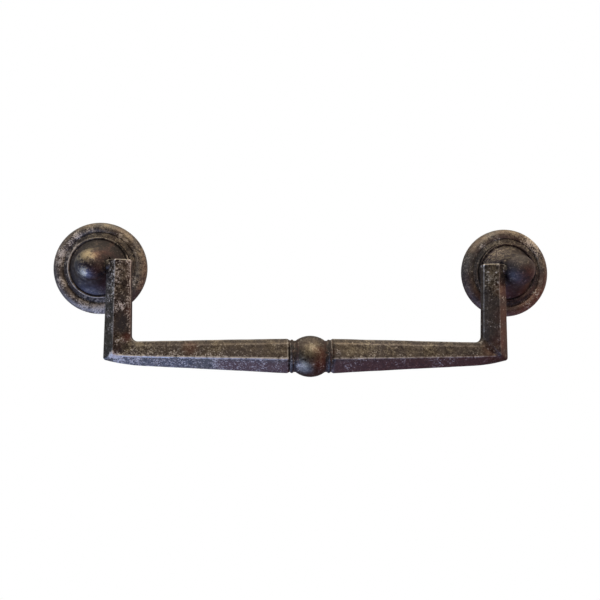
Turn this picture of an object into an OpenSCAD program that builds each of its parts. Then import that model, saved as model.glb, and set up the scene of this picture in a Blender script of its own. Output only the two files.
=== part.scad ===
// Bail handle for a drawer: a cast bail with a ball at mid span swings on two turned posts,
// each post stands on a turned rosette and is drawn up behind the drawer front by a nut.
// Frame: origin on the drawer face midway between the posts, at the height of the pivot.
// X runs along the handle, the front faces -Y, Z is up. Millimetres.

/* [Placement] */
// Distance between the two posts, centre to centre
post_spacing = 128; // [96:1:224]
// How far the pivot stands in front of the drawer face
pivot_out = 12; // [11.5:0.1:15]
// Thickness of the drawer front that the handle is clamped to
panel_t = 18; // [12:0.5:25]

/* [Rosettes] */
// Diameter of a rosette
rosette_d = 28.2; // [27:0.1:40]
// Height of the rosette's straight rim
rim_h = 1; // [0.6:0.1:1.4]
// Width of the rounded outer band
band_w = 3.1; // [2:0.1:4]
// Height of the crown of the outer band
band_h = 2.9; // [2.6:0.1:3.4]
// Depth of the step at the inner side of the band
band_step = 0.3; // [0.2:0.1:0.8]
// Slant of that step
step_slant = 0.1; // [0.05:0.05:0.4]
// Height of the lip around the seat of the post
seat_lip_h = 2.6; // [2.2:0.1:2.9]
// Width of that lip
lip_w = 0.35; // [0.2:0.05:0.8]
// Height of the floor that the post stands on
seat_floor_h = 1.5; // [1:0.1:1.8]

/* [Posts] */
// Diameter of the domed head of a post
dome_d = 9.4; // [8.6:0.1:10]
// Diameter of the foot of a post
foot_d = 18.6; // [16:0.1:19.6]
// Height of the foot's crisp edge above the drawer face
foot_h = 3.8; // [3.4:0.1:4.4]
// Bevel on that edge
foot_edge = 0.15; // [0.05:0.05:0.3]
// Width of the flat lip at the edge of the foot, with its bevel
foot_lip_w = 0.45; // [0.35:0.05:1]
// Depth of the dish behind that lip
foot_dish = 0.3; // [0.1:0.05:0.5]
// How quickly the bell narrows towards the dome
bell_power = 1.8; // [1.5:0.1:2.6]
// Diameter of the spigot that centres the rosette
spigot_d = 6.8; // [6.4:0.1:8]
// How far the spigot's end stays clear of the drawer
spigot_short = 0.4; // [0.3:0.05:0.8]
// Diameter of the plain shank in the drawer front
shank_d = 4.5; // [4.4:0.1:5]
// Major diameter of the threaded end
thread_d = 4; // [3:0.1:4]
// Length of thread inside the drawer front
thread_inside = 3; // [1:0.5:6]
// Length of thread that shows behind the nut
thread_tail = 2.4; // [1:0.1:8]
// Chamfer at the end of the thread
thread_chamfer = 0.5; // [0.2:0.05:0.8]

/* [Nuts and washers] */
// Width across flats of a nut
nut_af = 7; // [6.5:0.1:8]
// Thickness of a nut
nut_t = 3.2; // [2.4:0.1:5]
// Depth of the chamfer on the nut's corners
nut_chamfer = 0.4; // [0.2:0.05:0.8]
// How far the nut's round faces lie inside its flats
nut_face_in = 0.1; // [0.05:0.05:0.4]
// Outside diameter of a washer
washer_d = 10; // [9:0.1:14]
// Thickness of a washer
washer_t = 1; // [0.6:0.1:2]

/* [Bail] */
// Length from the pivot's axis to the ball's axis
drop = 26.4; // [22:0.1:60]
// Diameter of the ball
ball_d = 12.2; // [11.2:0.1:13]
// Length that the ball would have along the bar if no groove cut into it
ball_len = 13.4; // [11.8:0.1:14]
// Width of the arms at the pivot, seen from the front
arm_w = 7; // [6:0.1:8]
// Width of the arms at the corners
corner_w = 7.8; // [6.5:0.1:8.5]
// How far the arms' outer faces lean out towards the corners
arm_lean = 0.6; // [0:0.05:1]
// Height of the arms' ends above the pivot's axis
arm_top = 1.65; // [1.6:0.05:2.4]
// Bevel filed round the arms' ends
arm_bevel = 0.25; // [0.1:0.05:0.5]
// Length of the bevel filed round the bar's ends beside the necks
bar_bevel = 0.9; // [0.2:0.05:1.2]
// Depth of that bevel
bar_bevel_in = 0.5; // [0.2:0.05:0.9]
// Height of the bar beside the ball
bar_mid_w = 10.6; // [9:0.1:11.5]
// Height of the bar at the corners, before its lower edge turns up
bar_end_w = 6.6; // [6:0.1:8]
// How much higher the bar's middle line lies at the corners than beside the ball
bar_rise = 0.85; // [0:0.05:2]
// How far the lower edge turns up at the corner
heel_rise = 1.3; // [0:0.05:2]
// Length of bar before the corner over which the lower edge turns up
heel_run = 2.3; // [0.5:0.1:8]
// Depth of the section as a share of its width
section_depth = 0.79; // [0.6:0.01:0.9]
// Where the front ridge lies beside the ball, as a share of the width from the inner edge
ridge_share = 0.565; // [0.45:0.005:0.65]
// Where it lies from the corners on
ridge_end_share = 0.6; // [0.45:0.005:0.7]
// Width of the narrow inner facet beside the ball, as a share of the width
inner_share = 0.125; // [0.05:0.005:0.25]
// Its width from the corners on
inner_end_share = 0.165; // [0.05:0.005:0.25]
// Depth at the inner facet's ridge, as a share of the depth at the front ridge
inner_depth = 0.67; // [0.62:0.01:0.85]
// Depth at the inner edge, as a share of the depth at the front ridge
inner_edge_depth = 0.45; // [0.35:0.01:0.62]
// Depth at the outer edge, as a share of the depth at the front ridge
outer_edge_depth = 0.19; // [0.1:0.01:0.4]
// Radius of the fillet inside the corners
corner_fillet = 1.7; // [1:0.1:3]
// Radius of the ridges where they turn the corner
corner_ridge_r = 0.5; // [0.2:0.1:1.5]
// Radius of the worn tip outside the corners
corner_tip_r = 0.9; // [0.4:0.1:2]
// Length of the turned neck on each side of the ball
neck_len = 1.6; // [1.5:0.1:4]
// Diameter of the groove beside the ball
neck_d = 9.3; // [8:0.1:9.6]
// Height of the collar between the groove and the bar
collar_h = 0.3; // [0.2:0.05:0.6]
// Width of that collar
collar_w = 0.9; // [0.6:0.05:1.4]

/* [Pivots] */
// Diameter of the pins on the arms
pin_d = 3; // [2.4:0.1:3.2]
// Length of a pin inside its post
pin_reach = 4.8; // [3:0.1:5.4]
// Radial clearance of a pin in its bore
pin_fit = 0.06; // [0.03:0.01:0.1]
// Free length of the bore beyond the pin's tip
bore_spare = 0.5; // [0.2:0.1:0.8]
// Radius of the pocket in the post's flank where the arm's end turns
pocket_r = 4; // [3.6:0.1:4.4]
// Distance from the axis of the post to the pocket's floor
pocket_floor = 4.25; // [4:0.05:4.4]
// Side play between an arm and the floor of its pocket
side_play = 0.25; // [0.2:0.05:0.5]

/* [Fits] */
// Clearance of the spigot in the rosette's hole
spigot_fit = 0.2; // [0.15:0.05:0.4]
// Clearance around the foot of the post in its seat
seat_fit = 0.1; // [0.05:0.05:0.3]
// Clearance of the nut on the thread
nut_fit = 0.04; // [0.03:0.01:0.1]
// Clearance of the washer on the thread
washer_fit = 0.15; // [0.05:0.05:0.3]

/* [Hidden] */

turned_fn = 96;
curve_steps = 12;
overlap = 0.5;

rosette_r = rosette_d / 2;
hole_r = spigot_d / 2 + spigot_fit;
foot_r = foot_d / 2;
seat_r = foot_r + seat_fit;
dome_r = dome_d / 2;
ball_r = ball_d / 2;
neck_r = neck_d / 2;
pin_r = pin_d / 2;
thread_r = thread_d / 2;

// Where the ball meets the groove, and where the bar starts
ball_turn = asin(neck_r / ball_r);
neck_start_x = ball_len / 2 * cos(ball_turn);
bar_start_x = neck_start_x + neck_len;

// The arm's outer face stays side_play clear of the pocket's floor
pocket_x = post_spacing / 2 - pocket_floor;
arm_out_x = pocket_x - side_play;
arm_in_x = arm_out_x - arm_w;
arm_mid_x = arm_out_x - arm_w / 2;
corner_out_x = arm_out_x + arm_lean;
corner_in_x = corner_out_x - corner_w;
corner_mid_x = corner_out_x - corner_w / 2;
heel_start_x = corner_in_x - corner_fillet - heel_run;
heel_len = corner_out_x - heel_start_x;
pin_tip_x = pocket_x + pin_reach;

washer_y = panel_t;
nut_y = washer_y + washer_t;
thread_end_y = nut_y + nut_t + thread_tail;

patina_dark = "#3b342e";
patina_warm = "#5a4c3c";
steel_grey = "#8b8a86";

// Turns a profile of [radius, height in front of the drawer] about the axis of a post
module turned(profile) {
    rotate([90, 0, 0])
        rotate_extrude($fn = turned_fn)
            polygon(profile);
}

// Puts a piece at its post, the one on the left turned half round so that its flank faces the arm
module at_post(side) {
    translate([side * post_spacing / 2, 0, 0])
        rotate([0, side < 0 ? 180 : 0, 0])
            children();
}

// A rod along X, on the pivot's axis
module pivot_rod(radius, from_x, to_x) {
    translate([from_x, -pivot_out, 0])
        rotate([0, 90, 0])
            cylinder(h = to_x - from_x, r = radius, $fn = turned_fn);
}

// The rounded outer band, from the rim over its crown to the step
band_turn = 125;
band_curve = [for (i = [0:curve_steps])
    let (a = band_turn * i / curve_steps)
    [rosette_r - band_w * (1 - cos(a)) / (1 - cos(band_turn)),
     rim_h + (band_h - rim_h) * sin(a)]];

// A round plate: rim, rounded band, step, and a cone up to the lip around the post's seat
module rosette() {
    band_end = band_curve[curve_steps];
    step_h = band_end[1] - band_step;
    turned(concat(
        [[hole_r, 0], [rosette_r, 0]],
        band_curve,
        [[band_end[0] - step_slant, step_h],
         [seat_r + lip_w, seat_lip_h],
         [seat_r, seat_lip_h],
         [seat_r, seat_floor_h],
         [hole_r, seat_floor_h]]));
}

// The bell of a post narrows from the dish behind the foot's lip to the dome
bell_foot_r = foot_r - foot_lip_w - foot_dish;
bell_foot_h = foot_h - foot_dish;
function bell_r(t) = dome_r + (bell_foot_r - dome_r) * pow(1 - t, bell_power);
bell_curve = [for (i = [0:2 * curve_steps])
    let (t = i / (2 * curve_steps))
    [bell_r(t), bell_foot_h + (pivot_out - bell_foot_h) * t]];

// Spigot, shank and threaded end, from the tip of the thread to the seat
stem_profile = [
    [0, -thread_end_y],
    [thread_r - thread_chamfer, -thread_end_y],
    [thread_r, -thread_end_y + thread_chamfer],
    [thread_r, -panel_t + thread_inside],
    [shank_d / 2, -panel_t + thread_inside],
    [shank_d / 2, spigot_short],
    [spigot_d / 2, spigot_short],
    [spigot_d / 2, seat_floor_h]];

foot_profile = [
    [foot_r, seat_floor_h],
    [foot_r, foot_h - foot_edge],
    [foot_r - foot_edge, foot_h],
    [foot_r - foot_lip_w, foot_h]];

// Domed post, turned in one piece with its shank, bored and pocketed on the side of the arm
module post() {
    difference() {
        union() {
            turned(concat(stem_profile, foot_profile, bell_curve, [[0, pivot_out]]));
            translate([0, -pivot_out, 0])
                sphere(r = dome_r, $fn = turned_fn);
        }
        translate([-post_spacing / 2, 0, 0]) {
            pivot_rod(pocket_r, arm_in_x, pocket_x);
            pivot_rod(pin_r + pin_fit, pocket_x - overlap, pin_tip_x + bore_spare);
        }
    }
}

module washer() {
    turned([
        [thread_r + washer_fit, -washer_y - washer_t],
        [washer_d / 2, -washer_y - washer_t],
        [washer_d / 2, -washer_y],
        [thread_r + washer_fit, -washer_y]]);
}

// Hexagon nut, its corners turned down on both faces
module nut() {
    corner_r = nut_af / 2 / cos(30);
    translate([0, nut_y + nut_t, 0])
        rotate([90, 0, 0])
            difference() {
                intersection() {
                    cylinder(h = nut_t, r = corner_r, $fn = 6);
                    rotate_extrude($fn = turned_fn)
                        polygon([
                            [0, 0],
                            [nut_af / 2 - nut_face_in, 0],
                            [corner_r + overlap, nut_chamfer + overlap],
                            [corner_r + overlap, nut_t - nut_chamfer - overlap],
                            [nut_af / 2 - nut_face_in, nut_t],
                            [0, nut_t]]);
                }
                translate([0, 0, -overlap])
                    cylinder(h = nut_t + 2 * overlap, r = thread_r + nut_fit, $fn = turned_fn);
            }
}

// The bail's section runs round these lines: share of the width from the inner edge, beside the ball
// and from the corners on, share of the depth, and the radius with which the line turns the corner
front_lines = [
    [1, 1, outer_edge_depth, corner_tip_r],
    [ridge_share, ridge_end_share, 1, corner_ridge_r],
    [inner_share, inner_end_share, inner_depth, corner_fillet],
    [0, 0, inner_edge_depth, corner_fillet]];
lines = concat(
    [for (k = [0:3]) concat(front_lines[k], [-1])],
    [for (k = [3:-1:0]) concat(front_lines[k], [1])]);

function line_share(k, x) = lines[k][0] + (lines[k][1] - lines[k][0]) * min(1, x / corner_in_x);
function line_x(k) = corner_in_x + corner_w * lines[k][1];
function corner_r(k) = lines[k][3];
function bar_w(x) = bar_mid_w + (bar_end_w - bar_mid_w) * x / corner_mid_x;

// The lower edge turns up towards the corner, the lines above it less and less
heel_power = 2.2;
heel_spread = 2.4;
function heel(x) = heel_rise * pow(max(0, x - heel_start_x) / heel_len, heel_power);
function bar_mid_z(x) = -drop + bar_rise * x / corner_mid_x;
function line_z(k, x, size = 1) = bar_mid_z(x)
    + bar_w(x) * size * (0.5 - line_share(k, x)) + heel(x) * pow(line_share(k, x), heel_spread);
function line_y(k, width) = -pivot_out + lines[k][4] * lines[k][2] * section_depth * width / 2;

function arm_ring(z, size) = [for (k = [0:7])
    [arm_mid_x + arm_w * size * (lines[k][1] - 0.5), line_y(k, arm_w * size), z]];
function corner_ring(a) = [for (k = [0:7])
    let (r = corner_r(k), x = line_x(k) - r, width = bar_w(x) + (corner_w - bar_w(x)) * a / 90)
    [x + r * sin(a), line_y(k, width), line_z(k, x) + r - r * cos(a)]];
function bar_ring(x, size) = [for (k = [0:7]) [x, line_y(k, bar_w(x) * size), line_z(k, x, size)]];
function heel_ring(t) = [for (k = [0:7])
    let (x0 = line_x(k) - corner_r(k), x = x0 + (heel_start_x - x0) * t)
    [x, line_y(k, bar_w(x)), line_z(k, x)]];

corner_steps = 6;
heel_steps = 5;
half_rings = concat(
    [arm_ring(arm_top, 1 - 2 * arm_bevel / arm_w), arm_ring(arm_top - arm_bevel, 1)],
    [for (i = [0:corner_steps]) corner_ring(90 - 90 * i / corner_steps)],
    [for (i = [1:heel_steps]) heel_ring(i / heel_steps)],
    [bar_ring(bar_start_x + bar_bevel, 1), bar_ring(bar_start_x, 1 - 2 * bar_bevel_in / bar_w(bar_start_x))]);

// Skins closed rings of equal length, with a flat cap at both ends
module lofted(rings) {
    n = len(rings[0]);
    last = len(rings) - 1;
    polyhedron(
        points = [for (ring = rings) each ring],
        faces = concat(
            [[for (i = [0:n - 1]) i]],
            [for (j = [0:last - 1], i = [0:n - 1])
                [j * n + i, (j + 1) * n + i, (j + 1) * n + (i + 1) % n]],
            [for (j = [0:last - 1], i = [0:n - 1])
                [j * n + i, (j + 1) * n + (i + 1) % n, j * n + (i + 1) % n]],
            [[for (i = [n - 1:-1:0]) last * n + i]]));
}

// Half of the middle's profile, from the ball's crown outwards: ball, groove, collar, and the seat of
// the bar's end
neck_seat = 0.15;
middle_profile = concat(
    [[0, 0]],
    [for (i = [0:curve_steps])
        let (a = 90 - (90 - ball_turn) * i / curve_steps)
        [ball_r * sin(a), ball_len / 2 * cos(a)]],
    [for (i = [0:curve_steps])
        let (a = 180 * i / curve_steps)
        [neck_r + collar_h * sin(a), bar_start_x - collar_w / 2 - collar_w / 2 * cos(a)]],
    [[neck_r, bar_start_x + neck_seat], [0, bar_start_x + neck_seat]]);

// One half of the bail: pin, faceted arm and bar, and half of the ball with its turned neck
module bail_half() {
    lofted(half_rings);
    pivot_rod(pin_r, arm_mid_x, pin_tip_x);
    translate([0, -pivot_out, -drop])
        rotate([0, 90, 0])
            rotate_extrude($fn = turned_fn)
                polygon(middle_profile);
}

module rosette_left() {
    color(patina_warm) at_post(-1) rosette();
}

module rosette_right() {
    color(patina_warm) at_post(1) rosette();
}

module post_left() {
    color(patina_dark) at_post(-1) post();
}

module post_right() {
    color(patina_dark) at_post(1) post();
}

module washer_left() {
    color(steel_grey) at_post(-1) washer();
}

module washer_right() {
    color(steel_grey) at_post(1) washer();
}

module nut_left() {
    color(steel_grey) at_post(-1) nut();
}

module nut_right() {
    color(steel_grey) at_post(1) nut();
}

module bail() {
    color(patina_dark) {
        bail_half();
        mirror([1, 0, 0]) bail_half();
    }
}

rosette_left();
rosette_right();
post_left();
post_right();
washer_left();
washer_right();
nut_left();
nut_right();
bail();
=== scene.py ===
# %% [markdown]
# A drawer bail handle in darkened brass
#
# The real handle is a cast bail that hangs between two turned posts. Each post stands on a turned
# rosette, and a nut and a washer draw it up behind the drawer front. The frame below holds the exact
# solids. This lesson gives them their surface: soft filed edges, a screw thread, and old brass that has
# gone dark, with rubbed edges and pale patches.

# %% Load the frame
import math

import bmesh
import bpy
from mathutils import Matrix, Vector, kdtree, noise


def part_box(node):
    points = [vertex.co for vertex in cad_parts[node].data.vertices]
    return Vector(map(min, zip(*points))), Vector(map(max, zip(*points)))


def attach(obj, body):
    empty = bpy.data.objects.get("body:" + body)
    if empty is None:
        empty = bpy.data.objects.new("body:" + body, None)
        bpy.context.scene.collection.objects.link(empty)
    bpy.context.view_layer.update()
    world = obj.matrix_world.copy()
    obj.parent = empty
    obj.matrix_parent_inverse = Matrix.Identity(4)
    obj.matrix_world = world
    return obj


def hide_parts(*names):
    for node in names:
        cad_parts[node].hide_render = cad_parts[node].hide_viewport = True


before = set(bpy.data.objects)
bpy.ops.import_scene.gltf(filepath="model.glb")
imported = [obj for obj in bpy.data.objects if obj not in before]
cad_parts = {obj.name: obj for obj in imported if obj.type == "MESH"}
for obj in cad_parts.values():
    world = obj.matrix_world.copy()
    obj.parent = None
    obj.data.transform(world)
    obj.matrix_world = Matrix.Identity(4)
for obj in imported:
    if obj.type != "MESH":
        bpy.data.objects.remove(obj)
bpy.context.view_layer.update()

MM = 0.001

# %% [markdown]
# The new pieces have to fit the solids, so their main sizes are measured on the solids: where the posts
# stand, where the pivot is, how far the ball hangs below it. What the eye needs beyond that, such as
# the shares of the bail's section, is named here in millimetres.

# %% Measure the solids
bail_low, bail_high = (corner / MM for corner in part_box("bail"))
post_low, post_high = (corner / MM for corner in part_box("post_right"))
rosette_low, rosette_high = (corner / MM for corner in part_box("rosette_right"))

SIDES = (("left", -1), ("right", 1))
post_x = (post_low.x + post_high.x) / 2
pivot_y = (bail_low.y + bail_high.y) / 2
ball_r = (bail_high.y - bail_low.y) / 2
ball_z = bail_low.z + ball_r
arm_top = bail_high.z
pin_tip_x = bail_high.x
print(f"posts at x = {post_x:.1f}, pivot at y = {pivot_y:.1f}")
print(f"ball {2 * ball_r:.1f} across, with its middle at z = {ball_z:.1f}")

# %% [markdown]
# The camera comes first, because every finish is judged through it. Its place and angles were fitted to
# the outline in the photograph: it stands about 20 cm in front of the handle, a little to the left and
# a little low, and looks slightly up. The lens follows from the picture's width of 600 pixels.

# %% Camera
FRAME_PX = 600
FOCAL_PX = 620
SENSOR_MM = 36
NEAREST_SEEN = 10
# Where the lens stands, in millimetres, and how it is turned, in radians.
eye = Vector((-16.73, -195.77, -16.63)) * MM
eye_yaw = 0.0739
eye_pitch = 0.0376
eye_roll = 0.0055

camera_data = bpy.data.cameras.new("camera")
camera_data.sensor_width = SENSOR_MM
camera_data.lens = SENSOR_MM * FOCAL_PX / FRAME_PX
camera_data.clip_start = NEAREST_SEEN * MM
camera = bpy.data.objects.new("camera", camera_data)
bpy.context.scene.collection.objects.link(camera)
turn = Matrix.Rotation(-eye_yaw, 4, "Z") @ Matrix.Rotation(math.radians(90) + eye_pitch, 4, "X")
camera.matrix_world = Matrix.Translation(eye) @ turn @ Matrix.Rotation(eye_roll, 4, "Z")
bpy.context.scene.camera = camera
bpy.context.scene.view_settings.view_transform = "Standard"
print(f"lens {camera_data.lens:.1f} mm")

# %% [markdown]
# The room and the finishes are both nets of shader nodes. Wired by hand, each node takes four or five
# lines. One small function adds a node with its settings and links, and three more do what both nets do
# all the time: mix two colours, turn a value into a soft step, and calculate. Colours are written as the
# codes that a painting program shows, and Blender wants them linear, so one function turns them.

# %% Colours and nodes
def linear(code):
    """The linear colour of an sRGB hex code."""
    parts = [int(code[i:i + 2], 16) / 255 for i in (1, 3, 5)]
    return [c / 12.92 if c <= 0.04045 else ((c + 0.055) / 1.055) ** 2.4 for c in parts] + [1]


def add(tree, kind, settings=None, links=None):
    """Adds one node. Settings go to its sockets or, failing that, to its properties."""
    node = tree.nodes.new("ShaderNode" + kind)
    for key, value in (settings or {}).items():
        if isinstance(key, int) or key in node.inputs:
            node.inputs[key].default_value = value
        else:
            setattr(node, key, value)
    for key, socket in (links or {}).items():
        tree.links.new(socket, node.inputs[key])
    return node


def blended(tree, share, first, second):
    """A colour between two colours or sockets, by a share from 0 to 1."""
    mix = add(tree, "Mix", {"data_type": "RGBA"}, {0: share})
    for slot, value in ((6, first), (7, second)):
        if isinstance(value, str):
            mix.inputs[slot].default_value = linear(value)
        else:
            tree.links.new(value, mix.inputs[slot])
    return mix.outputs[2]


def eased(tree, value, low, high, top=1.0):
    """Turns a value between low and high into a soft step from 0 to top."""
    settings = {"interpolation_type": "SMOOTHSTEP", "From Min": low, "From Max": high, "To Max": top}
    return add(tree, "MapRange", settings, {"Value": value}).outputs[0]


def maths(tree, operation, *values):
    """One sum, difference, product and so on of sockets and numbers."""
    node = add(tree, "Math", {"operation": operation})
    for slot, value in enumerate(values):
        if isinstance(value, (int, float)):
            node.inputs[slot].default_value = value
        else:
            tree.links.new(value, node.inputs[slot])
    return node.outputs[0]


print("middle grey is", round(linear("#808080")[0], 3), "when linear")

# %% [markdown]
# Dark metal shows little colour of its own: it shows what it reflects. A picture of a room would do, but
# it would be a file to carry along. So the studio is painted on the world by direction: a dim room, warm
# light overhead, blue daylight from below on the left, and dusk from below on the right. Only
# reflections and soft light see that painting. The lens sees plain white behind the handle.

# %% The painted room
world = bpy.data.worlds.new("studio")
world.use_nodes = True
bpy.context.scene.world = world
sky = world.node_tree
sky.nodes.clear()

SKY_STRENGTH = 3.0
LOW_ROOM = "#332b2b"
# Each part of the room: its colour, where it lies, and the cosines at which it starts and is full.
ROOM_PARTS = (
    ("#66605a", (0, 0, 1), -0.1, 0.5),                 # the upper half of a dim room
    ("#5f656c", (-1, 0, 0), 0.4, 0.95),                # a cool wall on the left
    ("#87726a", (1, 0, 0), 0.4, 0.95),                 # a warmer wall on the right
    ("#5f474a", (0.45, -0.2, -0.87), 0.3, 0.9),        # dusk from below on the right
    ("#d8ccb9", (0, -0.15, 0.98), 0.55, 0.95),         # warm light overhead
    ("#a9c6ff", (-0.5, -0.25, -0.83), 0.75, 0.91))     # blue daylight from below on the left
direction = add(sky, "TexCoord").outputs["Generated"]


def glow(toward, start, full):
    """How far a direction lies inside a soft round light of the room."""
    aim = Vector(toward).normalized()
    facing = add(sky, "VectorMath", {"operation": "DOT_PRODUCT", 1: aim}, {0: direction}).outputs["Value"]
    return eased(sky, facing, start, full)


room = LOW_ROOM
for colour, toward, start, full in ROOM_PARTS:
    room = blended(sky, glow(toward, start, full), room, colour)
lit = add(sky, "Background", {"Strength": SKY_STRENGTH}, {"Color": room}).outputs[0]
white = add(sky, "Background", {"Color": (1, 1, 1, 1), "Strength": 1.0}).outputs[0]
seen = add(sky, "LightPath").outputs["Is Camera Ray"]
shown = add(sky, "MixShader", links={0: seen, 1: lit, 2: white}).outputs[0]
add(sky, "OutputWorld", links={"Surface": shown})
print("room painted from", len(ROOM_PARTS), "soft parts")

# %% [markdown]
# A painted world lights evenly, so two lamps add what it lacks: a clear highlight and a soft shadow. A
# warm key stands high in front, as over a studio table. A blue one is low on the left, where the
# daylight comes from. Both are area lamps more than 10 cm wide, for the soft edges of a lightbox.

# %% Lamps
def soft_lamp(name, place, aim, size, power, colour):
    """A square area lamp at a place, turned to face its aim. The lens doesn't see the lamp itself."""
    lamp = bpy.data.lights.new(name, "AREA")
    lamp.size = size * MM
    lamp.energy = power
    lamp.color = linear(colour)[:3]
    holder = bpy.data.objects.new(name, lamp)
    bpy.context.scene.collection.objects.link(holder)
    spot = Vector(place) * MM
    facing = (Vector(aim) * MM - spot).to_track_quat("-Z", "Y").to_matrix().to_4x4()
    holder.matrix_world = Matrix.Translation(spot) @ facing
    holder.visible_camera = False
    return holder


soft_lamp("key_lamp", place=(90, -400, 450), aim=(0, 0, -15), size=130, power=0.65, colour="#fff3e2")
soft_lamp("window_lamp", place=(-330, -190, -420), aim=(-40, 0, -20), size=160, power=1, colour="#b8ccff")

# %% [markdown]
# The handle hangs on a drawer, so nothing stands under it. For the views from above, a plain pale floor
# lies half a metre below: one square face, painted matt. It isn't part of the handle, and it is kept out
# of reflections and soft light, where it would wash out the dark brass.

# %% Floor
FLOOR_DROP = 500
FLOOR_HALF = 600
FLOOR_PAINT = "#d6dae0"
floor_bm = bmesh.new()
bmesh.ops.create_grid(floor_bm, x_segments=1, y_segments=1, size=FLOOR_HALF * MM)
bmesh.ops.translate(floor_bm, verts=floor_bm.verts, vec=(0, 0, -FLOOR_DROP * MM))
floor_mesh = bpy.data.meshes.new("floor")
floor_bm.to_mesh(floor_mesh)
floor_bm.free()
floor = bpy.data.objects.new("floor", floor_mesh)
bpy.context.scene.collection.objects.link(floor)
floor.visible_glossy = False
floor.visible_diffuse = False
floor_paint = bpy.data.materials.new("pale_floor_paint")
floor_paint.use_nodes = True
floor_shader = floor_paint.node_tree.nodes["Principled BSDF"]
floor_shader.inputs["Base Color"].default_value = linear(FLOOR_PAINT)
floor_shader.inputs["Roughness"].default_value = 0.9
floor_mesh.materials.append(floor_paint)
print(f"floor {FLOOR_DROP} mm below the pivot")

# %% [markdown]
# Turned pieces are spun. A lathe leaves a form that is the same all round, so its half section, drawn as
# a chain of points of radius and height, says everything. The sharp corners are then given a tiny bevel,
# because no real edge is a true corner, and it is the bevel that catches the light.

# %% Helpers for turned pieces
MERGE_DIST = 0.002


def chain(bm, points):
    """Draws points as a chain of edges and returns its parts."""
    verts = [bm.verts.new(point) for point in points]
    edges = [bm.edges.new(pair) for pair in zip(verts, verts[1:])]
    return verts + edges


def close_up(bm):
    """Merges what lies together and points every face outwards."""
    bmesh.ops.remove_doubles(bm, verts=bm.verts, dist=MERGE_DIST * MM)
    bmesh.ops.dissolve_degenerate(bm, edges=bm.edges, dist=MERGE_DIST * MM)
    bmesh.ops.recalc_face_normals(bm, faces=bm.faces)


def divided(points, step):
    """The same chain of points with more points along its longer stretches."""
    dense = [Vector(points[0])]
    for start, end in zip(points, points[1:]):
        start, end = Vector(start), Vector(end)
        cuts = max(1, math.ceil((end - start).length / step))
        dense += [start.lerp(end, i / cuts) for i in range(1, cuts + 1)]
    return dense


def spun(profile, centre, axis, steps=144, step=0.35):
    """A closed turned body from points of [radius, distance along the axis], in millimetres."""
    bm = bmesh.new()
    axis = Vector(axis)
    across = Vector((0, 0, 1))
    centre = Vector(centre)
    points = [(centre + across * r + axis * along) * MM for r, along in divided(profile, step)]
    bmesh.ops.spin(bm, geom=chain(bm, points), cent=centre * MM, axis=axis, dvec=(0, 0, 0),
                   angle=2 * math.pi, steps=steps, use_merge=True)
    close_up(bm)
    return bm


def eased_edges(bm, radius, angle=25, segments=2):
    """Bevels the edges that turn outwards by more than an angle."""
    sharp = [e for e in bm.edges if e.is_manifold and e.calc_face_angle_signed(0) > math.radians(angle)]
    bmesh.ops.bevel(bm, geom=sharp, offset=radius * MM, segments=segments, affect="EDGES",
                    profile=0.5, material=-1, clamp_overlap=True)


def as_object(bm, name):
    """Turns a bmesh into an object in the scene."""
    mesh = bpy.data.meshes.new(name)
    bm.to_mesh(mesh)
    bm.free()
    piece = bpy.data.objects.new(name, mesh)
    bpy.context.scene.collection.objects.link(piece)
    return piece


def combined(piece, tools, operation):
    """Joins other bodies to a piece, or cuts them out of it, and removes them from the scene."""
    for tool in tools:
        cut = piece.modifiers.new(operation.lower(), "BOOLEAN")
        cut.object = tool
        cut.operation = operation
        cut.solver = "MANIFOLD"
    graph = bpy.context.evaluated_depsgraph_get()
    mesh = bpy.data.meshes.new_from_object(piece.evaluated_get(graph))
    piece.modifiers.clear()
    piece.data = mesh
    for tool in tools:
        bpy.data.objects.remove(tool)
    return piece


# %% [markdown]
# The rosette is a round plate, turned from the front: a straight rim, a rounded outer band, a small
# step, and a shallow cone that rises to a lip around the foot of the post. The half section is a few
# corners and one arc.

# %% Rosettes
ROSETTE_R = (rosette_high.z - rosette_low.z) / 2
RIM_H = 1.0
BAND_W = 3.1
BAND_H = -rosette_low.y
BAND_TURN = math.radians(125)
BAND_STEPS = 24
BAND_STEP_H = 0.3
BAND_STEP_W = 0.1
SEAT_R = 9.4
SEAT_LIP_H = 2.6
LIP_W = 0.35
SEAT_FLOOR_H = 1.5
HOLE_R = 3.6
ROSETTE_EDGE_R = 0.1


def band_point(turn):
    """A point of the outer band's arc, which starts on the rim and leans over the crown."""
    inwards = BAND_W * (1 - math.cos(turn)) / (1 - math.cos(BAND_TURN))
    return ROSETTE_R - inwards, RIM_H + (BAND_H - RIM_H) * math.sin(turn)


def rosette(name, x):
    arc = [band_point(BAND_TURN * i / BAND_STEPS) for i in range(BAND_STEPS + 1)]
    foot_of_step = (arc[-1][0] - BAND_STEP_W, arc[-1][1] - BAND_STEP_H)
    lip = [(SEAT_R + LIP_W, SEAT_LIP_H), (SEAT_R, SEAT_LIP_H)]
    seat = [(SEAT_R, SEAT_FLOOR_H), (HOLE_R, SEAT_FLOOR_H)]
    profile = [(HOLE_R, 0), (ROSETTE_R, 0)] + arc + [foot_of_step] + lip + seat + [(HOLE_R, 0)]
    bm = spun(profile, (x, 0, 0), (0, -1, 0))
    eased_edges(bm, ROSETTE_EDGE_R)
    return as_object(bm, name)


rosettes = {side: rosette(f"turned_rosette_{side}", sign * post_x) for side, sign in SIDES}
print("rosette:", len(rosettes["left"].data.polygons), "faces")

# %% [markdown]
# The post is turned too: thread, shank, spigot, foot, a bell that narrows in a curve, and a dome. The
# photograph's thin bright ring is the crisp edge of its foot. The flank that faces the bail has a round
# pocket for the arm's end and a bore for its pin. Neither is round about the post's axis, so a spin can't
# give them, and both are cut with a boolean, as a milling cutter and a drill would.

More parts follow.
